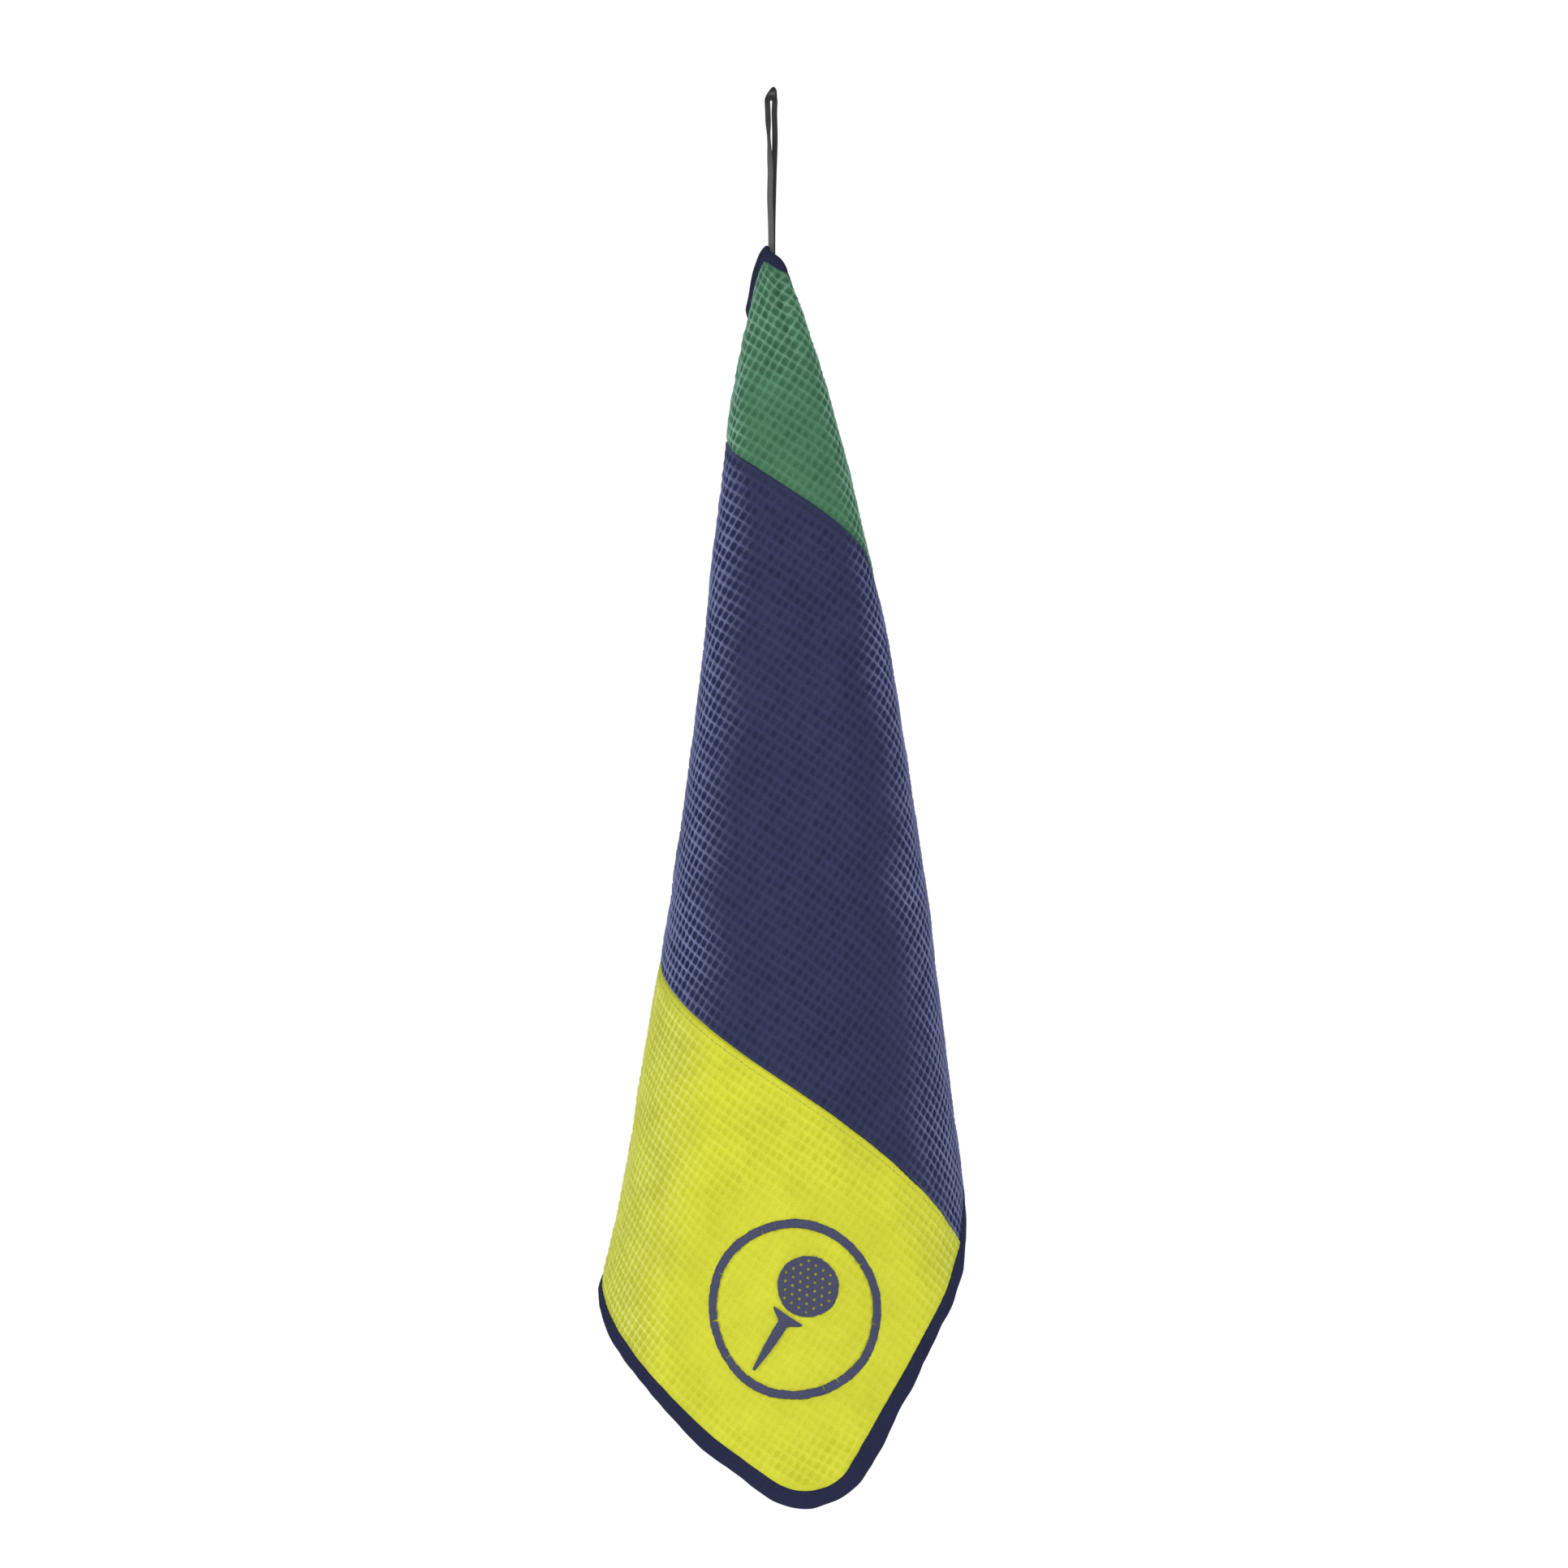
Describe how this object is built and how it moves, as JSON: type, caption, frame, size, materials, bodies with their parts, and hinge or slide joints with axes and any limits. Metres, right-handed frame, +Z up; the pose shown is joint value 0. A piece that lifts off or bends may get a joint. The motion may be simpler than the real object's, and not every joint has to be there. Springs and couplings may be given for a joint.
{
  "type": "golf towel",
  "caption": "Waffle cloth golf towel in green, navy and yellow panels with a bound edge and round emblem, hung from one corner by a folded black tape loop.",
  "frame": {"origin": "eye of the hanging loop, where a hook sits", "axes": "+Z up along the plumb line, -Y out of the towel's face with the emblem, +X to the viewer's right when facing it"},
  "size_m": [0.2125, 0.1637, 0.7783],
  "materials": {
    "green_waffle": "matte waffle weave microfibre",
    "navy_waffle": "matte waffle weave microfibre",
    "yellow_waffle": "matte waffle weave microfibre",
    "navy_tape": "matte woven binding tape",
    "navy_thread": "satin sewing thread",
    "yellow_thread": "satin sewing thread",
    "navy_film": "soft heat pressed film",
    "black_tape": "satin woven tape",
    "grey_thread": "satin sewing thread"
  },
  "bodies": {
    "loop": {"hanging_loop": "black_tape", "loop_fold_stitching": "grey_thread"},
    "towel": {"green_panel": "green_waffle", "navy_panel": "navy_waffle", "yellow_panel": "yellow_waffle", "edge_binding": "navy_tape", "binding_stitching": "navy_thread", "upper_seam_stitching": "navy_thread", "lower_seam_stitching": "yellow_thread", "emblem_ring": "navy_film", "emblem_ball": "navy_film", "emblem_tee": "navy_film", "loop_sewn_end": "black_tape"}
  },
  "joints": [
    {"name": "corner_swing", "type": "hinge", "parent": "loop", "child": "towel", "pos_m": [0.0004, 0, -0.0789], "axis": [1, 0, 0], "range_deg": [-75, 75]}
  ]
}
